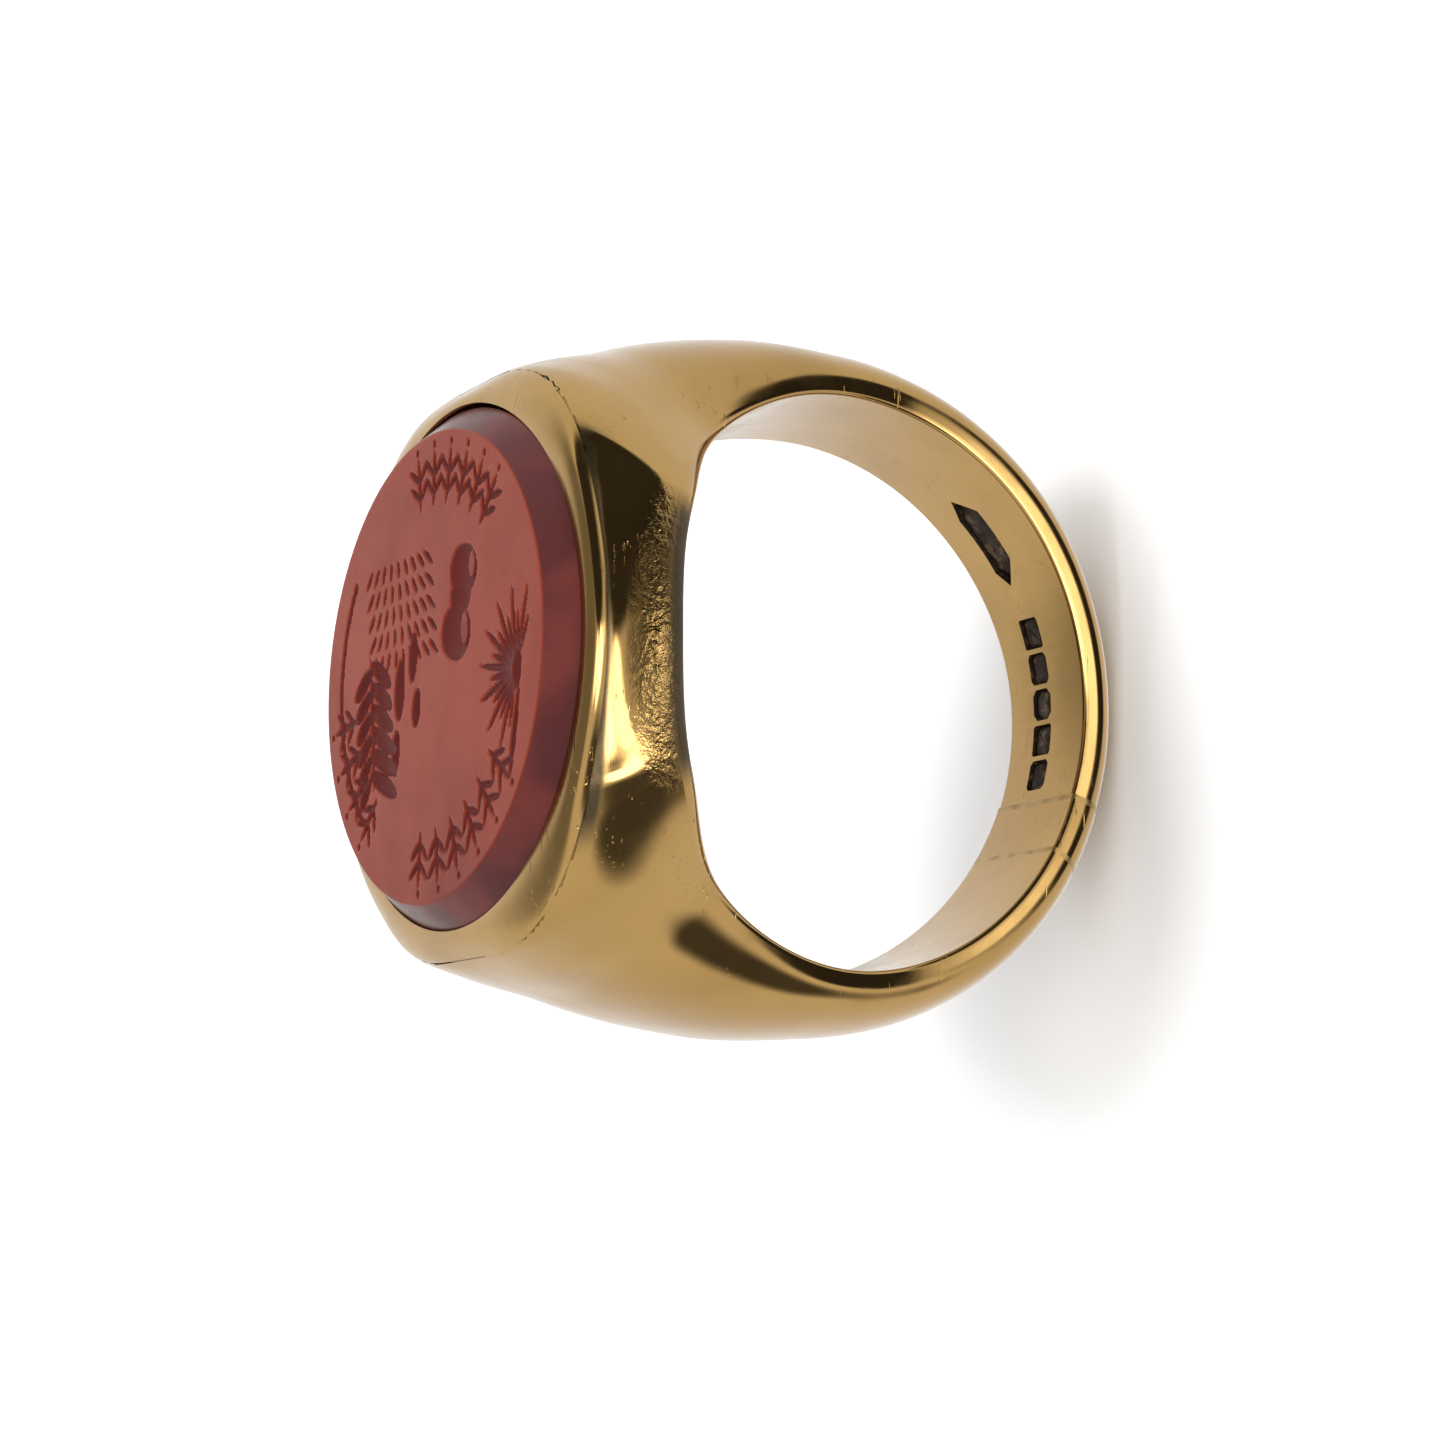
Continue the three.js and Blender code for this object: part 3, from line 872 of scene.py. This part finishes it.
def make_bezel_rim():
    """The burnished rim: its outer side follows the head, and its lip leans on the stone."""
    blank = band("blank", ring_angles())
    bpy.context.view_layer.update()
    clear_selection()
    sides, around = RIM_STEPS
    bpy.ops.mesh.primitive_torus_add(major_segments=sides, minor_segments=around,
                                     major_radius=1, minor_radius=0.2)
    piece = named("bezel_lip")

    def outline(turn, z):
        away = Vector((math.cos(turn), math.sin(turn), 0))
        hit, point, _, _ = blank.ray_cast(away * OUTSIDE * MM + Vector((0, 0, z * MM)), -away)
        if not hit:
            raise RuntimeError("the head has no side to build the rim on")
        return math.hypot(point.x, point.y) / MM

    for vertex in piece.data.vertices:
        turn = math.atan2(vertex.co.y, vertex.co.x)
        around_at = math.atan2(vertex.co.z, math.hypot(vertex.co.x, vertex.co.y) - 1)
        step = (around_at / (2 * math.pi)) % 1.0
        vertex.co = rim_point(turn, step, outline)
    bpy.data.objects.remove(blank, do_unlink=True)
    face_outwards(piece)
    smooth(piece, RIM_CREASE)
    x, y, z = (points_of(piece) / MM).T
    gap = np.array([math.hypot(a, b) - stone_radius(math.atan2(b, a), c) for a, b, c in zip(x, y, z)])
    # Painted shade on the lip's inner side, in the gap beside the stone.
    paint(piece, "painted_shade", ramp(gap, *LIP_SHADE_GAP) * ramp(z, *LIP_SHADE_HEIGHT))
    settle(piece, "bezel_rim", "gold", bpy.data.materials["worn_gold"])


def bezier(points, t):
    """A point of the cubic curve through the first and last of four points."""
    a, b, c, d = points
    return a * (1 - t) ** 3 + b * 3 * t * (1 - t) ** 2 + c * 3 * t * t * (1 - t) + d * t**3


def rim_point(turn, step, outline):
    """One point of the rim's section: step 0 to 1 runs up the outside, over the top and back inside."""
    end = ramp(abs(math.cos(turn)), *END_STARTS)
    gap = LIP_GAP + LIP_GAP_AT_END * max(0.0, math.cos(turn)) ** 8
    edge, edge_drop = LIP_EDGE
    lip_z = RIM_TOP_Z + LIP_RISE
    foot = Vector((outline(turn, SEAM_Z) + RIM_OVERLAP, SEAM_Z - RIM_OVERLAP))
    below = Vector((outline(turn, SEAM_Z - SLOPE_STEP), SEAM_Z - SLOPE_STEP))
    lip = Vector((stone_radius(turn, lip_z) + gap + edge, lip_z))
    rise = (foot - below).normalized()
    boxy = ROUND_SIDE + (ROUND_END - ROUND_SIDE) * end
    reach = boxy * (lip_z - SEAM_Z) / max(rise.y, FLATTEST_RISE)
    curve = (foot, foot + rise * reach, lip + Vector((boxy * (foot.x - lip.x), 0)), lip)
    corners = [bezier(curve, i / RIM_CURVE_STEPS) for i in range(RIM_CURVE_STEPS + 1)]
    corners.append(Vector((lip.x - edge, lip_z - edge_drop)))
    inner_z = RIM_TOP_Z - INNER_DROP
    inner_gap = gap * INNER_GAP[0] + INNER_GAP[1]
    corners.append(Vector((stone_radius(turn, inner_z) + inner_gap, inner_z)))
    corners.append(Vector((stone_radius(turn, SEAM_Z) + FOOT_GAP, SEAM_Z)))
    corners.append(foot)
    place = step * (len(corners) - 1)
    i = min(int(place), len(corners) - 2)
    s, z = corners[i].lerp(corners[i + 1], place - i)
    return Vector((s * math.cos(turn), s * math.sin(turn), z)) * MM


def make_seal_stone():
    """The stone: a fine flat table with the device cut into it, a steep bevel and a tapered back."""
    table = grown(GIRDLE_HALF, -TABLE_BEVEL)
    clear_selection()
    bpy.ops.mesh.primitive_grid_add(x_subdivisions=TABLE_CELLS, y_subdivisions=TABLE_CELLS, size=2)
    piece = named("seal_carnelian")
    u, v, _ = points_of(piece).T
    x = table[0] * u * np.sqrt(1 - v**2 / 2)
    y = table[1] * v * np.sqrt(1 - u**2 / 2)
    inside = 1 - np.hypot(x / table[0], y / table[1])
    depth = engraved_depth(x, y) * ramp(inside, 0, TABLE_MARGIN)
    placed = np.stack([x, y, TABLE_Z - depth], 1) * MM
    piece.data.vertices.foreach_set("co", placed.ravel())
    paint(piece, "cut", ramp(depth, 0, FULL_CUT))
    outer = {int(i) for i in np.nonzero((np.abs(u) > 0.9999) | (np.abs(v) > 0.9999))[0]}
    select_where(piece, lambda e: set(e.vertices) <= outer, "EDGE")
    middle_z = (TABLE_Z + RIM_TOP_Z) / 2
    levels = [(TABLE_Z, 0.0), *((TABLE_Z - drop, out) for drop, out in TABLE_EDGE),
              (middle_z, TABLE_BEVEL / 2), (RIM_TOP_Z + 0.02, TABLE_BEVEL - 0.02),
              (RIM_TOP_Z - 0.03, TABLE_BEVEL)]
    halves = [(z, grown(table, out)) for z, out in levels] + [(STONE_BASE_Z, STONE_BASE_HALF)]
    for (z0, half0), (z1, half1) in zip(halves, halves[1:]):
        bpy.ops.mesh.extrude_edges_move(TRANSFORM_OT_translate={"value": (0, 0, (z1 - z0) * MM)})
        widen(half0, half1)
    bpy.ops.mesh.edge_face_add()
    leave_edit(piece)
    face_outwards(piece)
    heights = points_of(piece)[:, 2]
    added = np.arange(len(heights)) >= len(u)
    paint(piece, "bevel", added & (heights < (TABLE_Z - BEVEL_STARTS) * MM))
    smooth(piece, STONE_CREASE)
    settle(piece, "seal_stone", "carnelian", carnelian_finish())


def finish_bedding():
    """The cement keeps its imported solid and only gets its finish."""
    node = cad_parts["stone_bedding"]
    node.data.materials.clear()
    node.data.materials.append(cement_finish())


# ---- Stage ----
def light_mix(tree, factor, first, second):
    """A strength that goes from the first, a number or a socket, to the second as the factor rises."""
    mix = tree.nodes.new("ShaderNodeMix")
    mix.data_type = "FLOAT"
    share, start, end = mix.inputs[0], mix.inputs[2], mix.inputs[3]
    tree.links.new(factor, share)
    if isinstance(first, float):
        start.default_value = first
    else:
        tree.links.new(first, start)
    end.default_value = second
    return mix.outputs[0]


def make_studio(scene):
    """A white tent with cards and lights in it, so that the polished gold has something to mirror."""
    world = bpy.data.worlds.new("studio")
    scene.world = world
    world.use_nodes = True
    tree = world.node_tree
    place = tree.nodes.new("ShaderNodeTexCoord").outputs["Generated"]
    light = STUDIO_LIGHT
    for turn, height, inner, outer, strength in STUDIO:
        turn, height = math.radians(turn), math.radians(height)
        dot = tree.nodes.new("ShaderNodeVectorMath")
        dot.operation = "DOT_PRODUCT"
        dot.inputs[1].default_value = (math.cos(height) * math.sin(turn),
                                       -math.cos(height) * math.cos(turn), math.sin(height))
        tree.links.new(place, dot.inputs[0])
        edge = tree.nodes.new("ShaderNodeMapRange")
        edge.interpolation_type = "SMOOTHSTEP"
        edge.inputs["From Min"].default_value = math.cos(math.radians(outer))
        edge.inputs["From Max"].default_value = math.cos(math.radians(inner))
        tree.links.new(dot.outputs["Value"], edge.inputs["Value"])
        light = light_mix(tree, edge.outputs["Result"], light, strength)
    # Diffuse rays and the camera see an even tent, so the cards tint no shadow and no background.
    path = tree.nodes.new("ShaderNodeLightPath")
    for ray in ("Is Diffuse Ray", "Is Camera Ray"):
        light = light_mix(tree, path.outputs[ray], light, STUDIO_LIGHT)
    background = tree.nodes["Background"]
    background.inputs["Color"].default_value = (1, 1, 1, 1)
    tree.links.new(light, background.inputs["Strength"])


def add_lamp(scene, name, place, width, power):
    """A square lamp aimed at the ring, which the gold doesn't mirror."""
    data = bpy.data.lights.new(name, "AREA")
    data.shape = "SQUARE"
    data.size = width
    data.energy = power
    lamp = bpy.data.objects.new(name, data)
    scene.collection.objects.link(lamp)
    lamp.location = place
    lamp.visible_glossy = False
    lamp.rotation_euler = (-Vector(place)).to_track_quat("-Z", "Y").to_euler()


def add_camera(scene):
    """The camera, set by where it stands and which ways are right and up in its view."""
    data = bpy.data.cameras.new("camera")
    data.sensor_width = CAMERA_SENSOR
    data.lens = CAMERA_LENS
    data.clip_start, data.clip_end = CAMERA_CLIP
    camera = bpy.data.objects.new("camera", data)
    scene.collection.objects.link(camera)
    right = Vector(CAMERA_RIGHT)
    back = right.cross(Vector(CAMERA_UP)).normalized()
    up = back.cross(right).normalized()
    place = Matrix((right.normalized(), up, back)).transposed().to_4x4()
    place.translation = Vector(CAMERA_PLACE)
    camera.matrix_world = place
    scene.camera = camera


def make_stage():
    """The pale floor, the studio round it and the camera."""
    scene = bpy.context.scene
    clear_selection()
    bpy.ops.mesh.primitive_grid_add(x_subdivisions=8, y_subdivisions=8, size=FLOOR_WIDTH,
                                    location=(0, 0, CAD_BOX[0].z))
    floor = named("pale_floor")
    paper = Finish("pale_paper")
    paper.set(Roughness=0.9)
    paper.shader.inputs["Specular IOR Level"].default_value = 0.0
    paper.colour(paper.blend(paper.noise(40), *PAPER))
    floor.data.materials.append(paper.material)
    floor.visible_glossy = False
    make_studio(scene)
    for lamp in LAMPS:
        add_lamp(scene, *lamp)
    add_camera(scene)
    scene.view_settings.view_transform = "Standard"


# ---- Add-on ----
def colour_property(name, description, default):
    """A colour that the sidebar shows as a swatch."""
    return bpy.props.FloatVectorProperty(name=name, description=description, default=default,
                                         subtype="COLOR", size=3, min=0.0, max=1.0)


class RingSettings(bpy.types.PropertyGroup):
    """The sizes and colours that a user would change."""
    cheek_hollow: bpy.props.FloatProperty(
        name="Cheek Hollow", description="Depth of the cove under the rim on each side of the head",
        default=CHEEK_HOLLOW * MM, unit="LENGTH")
    mark_depth: bpy.props.FloatProperty(
        name="Mark Depth", description="Depth of the punched marks inside the shank",
        default=MARK_DEPTH * MM, unit="LENGTH")
    gold: colour_property("Gold", "Colour of the band and the rim", GOLD)
    solder: colour_property("Solder", "Lighter colour of the solder joints", SOLDER)
    stone: colour_property("Stone", "Colour of the stone's table", CARNELIAN)
    # The wheel cuts' colour is painted shade.
    stone_cut_shade: colour_property("Stone Cuts", "Colour in the wheel cuts of the stone", STONE_CUT_SHADE_COLOUR)


class RING_OT_body(bpy.types.Operator):
    """Make the gold ring body with its seat and punched marks"""
    bl_idname = "ring.body"
    bl_label = "Ring Body"

    def execute(self, context):
        make_ring_body()
        return {"FINISHED"}


class RING_OT_sizing(bpy.types.Operator):
    """Make the sizing piece and its two solder joints"""
    bl_idname = "ring.sizing"
    bl_label = "Sizing Piece"

    def execute(self, context):
        make_sizing_piece()
        return {"FINISHED"}


class RING_OT_rim(bpy.types.Operator):
    """Make the burnished rim of the setting"""
    bl_idname = "ring.rim"
    bl_label = "Bezel Rim"

    def execute(self, context):
        make_bezel_rim()
        return {"FINISHED"}


class RING_OT_stone(bpy.types.Operator):
    """Make the seal stone and finish the cement under it"""
    bl_idname = "ring.stone"
    bl_label = "Seal Stone"

    def execute(self, context):
        make_seal_stone()
        finish_bedding()
        return {"FINISHED"}


class RING_OT_stage(bpy.types.Operator):
    """Make the floor, the lights and the camera"""
    bl_idname = "ring.stage"
    bl_label = "Stage"

    def execute(self, context):
        make_stage()
        return {"FINISHED"}


OPERATORS = (RING_OT_body, RING_OT_sizing, RING_OT_rim, RING_OT_stone, RING_OT_stage)


class RING_PT_panel(bpy.types.Panel):
    bl_label = "Signet Ring"
    bl_idname = "RING_PT_panel"
    bl_space_type = "VIEW_3D"
    bl_region_type = "UI"
    bl_category = "Signet Ring"

    def draw(self, context):
        for name in RingSettings.__annotations__:
            self.layout.prop(context.scene.ring_settings, name)
        for operator in OPERATORS:
            self.layout.operator(operator.bl_idname)


CLASSES = (RingSettings, *OPERATORS, RING_PT_panel)


def register():
    for item in CLASSES:
        bpy.utils.register_class(item)
    bpy.types.Scene.ring_settings = bpy.props.PointerProperty(type=RingSettings)


def unregister():
    del bpy.types.Scene.ring_settings
    for item in reversed(CLASSES):
        bpy.utils.unregister_class(item)


def main():
    register()
    bpy.ops.ring.stage()
    bpy.ops.ring.body()
    bpy.ops.ring.sizing()
    bpy.ops.ring.rim()
    bpy.ops.ring.stone()


if __name__ == "__main__":
    main()
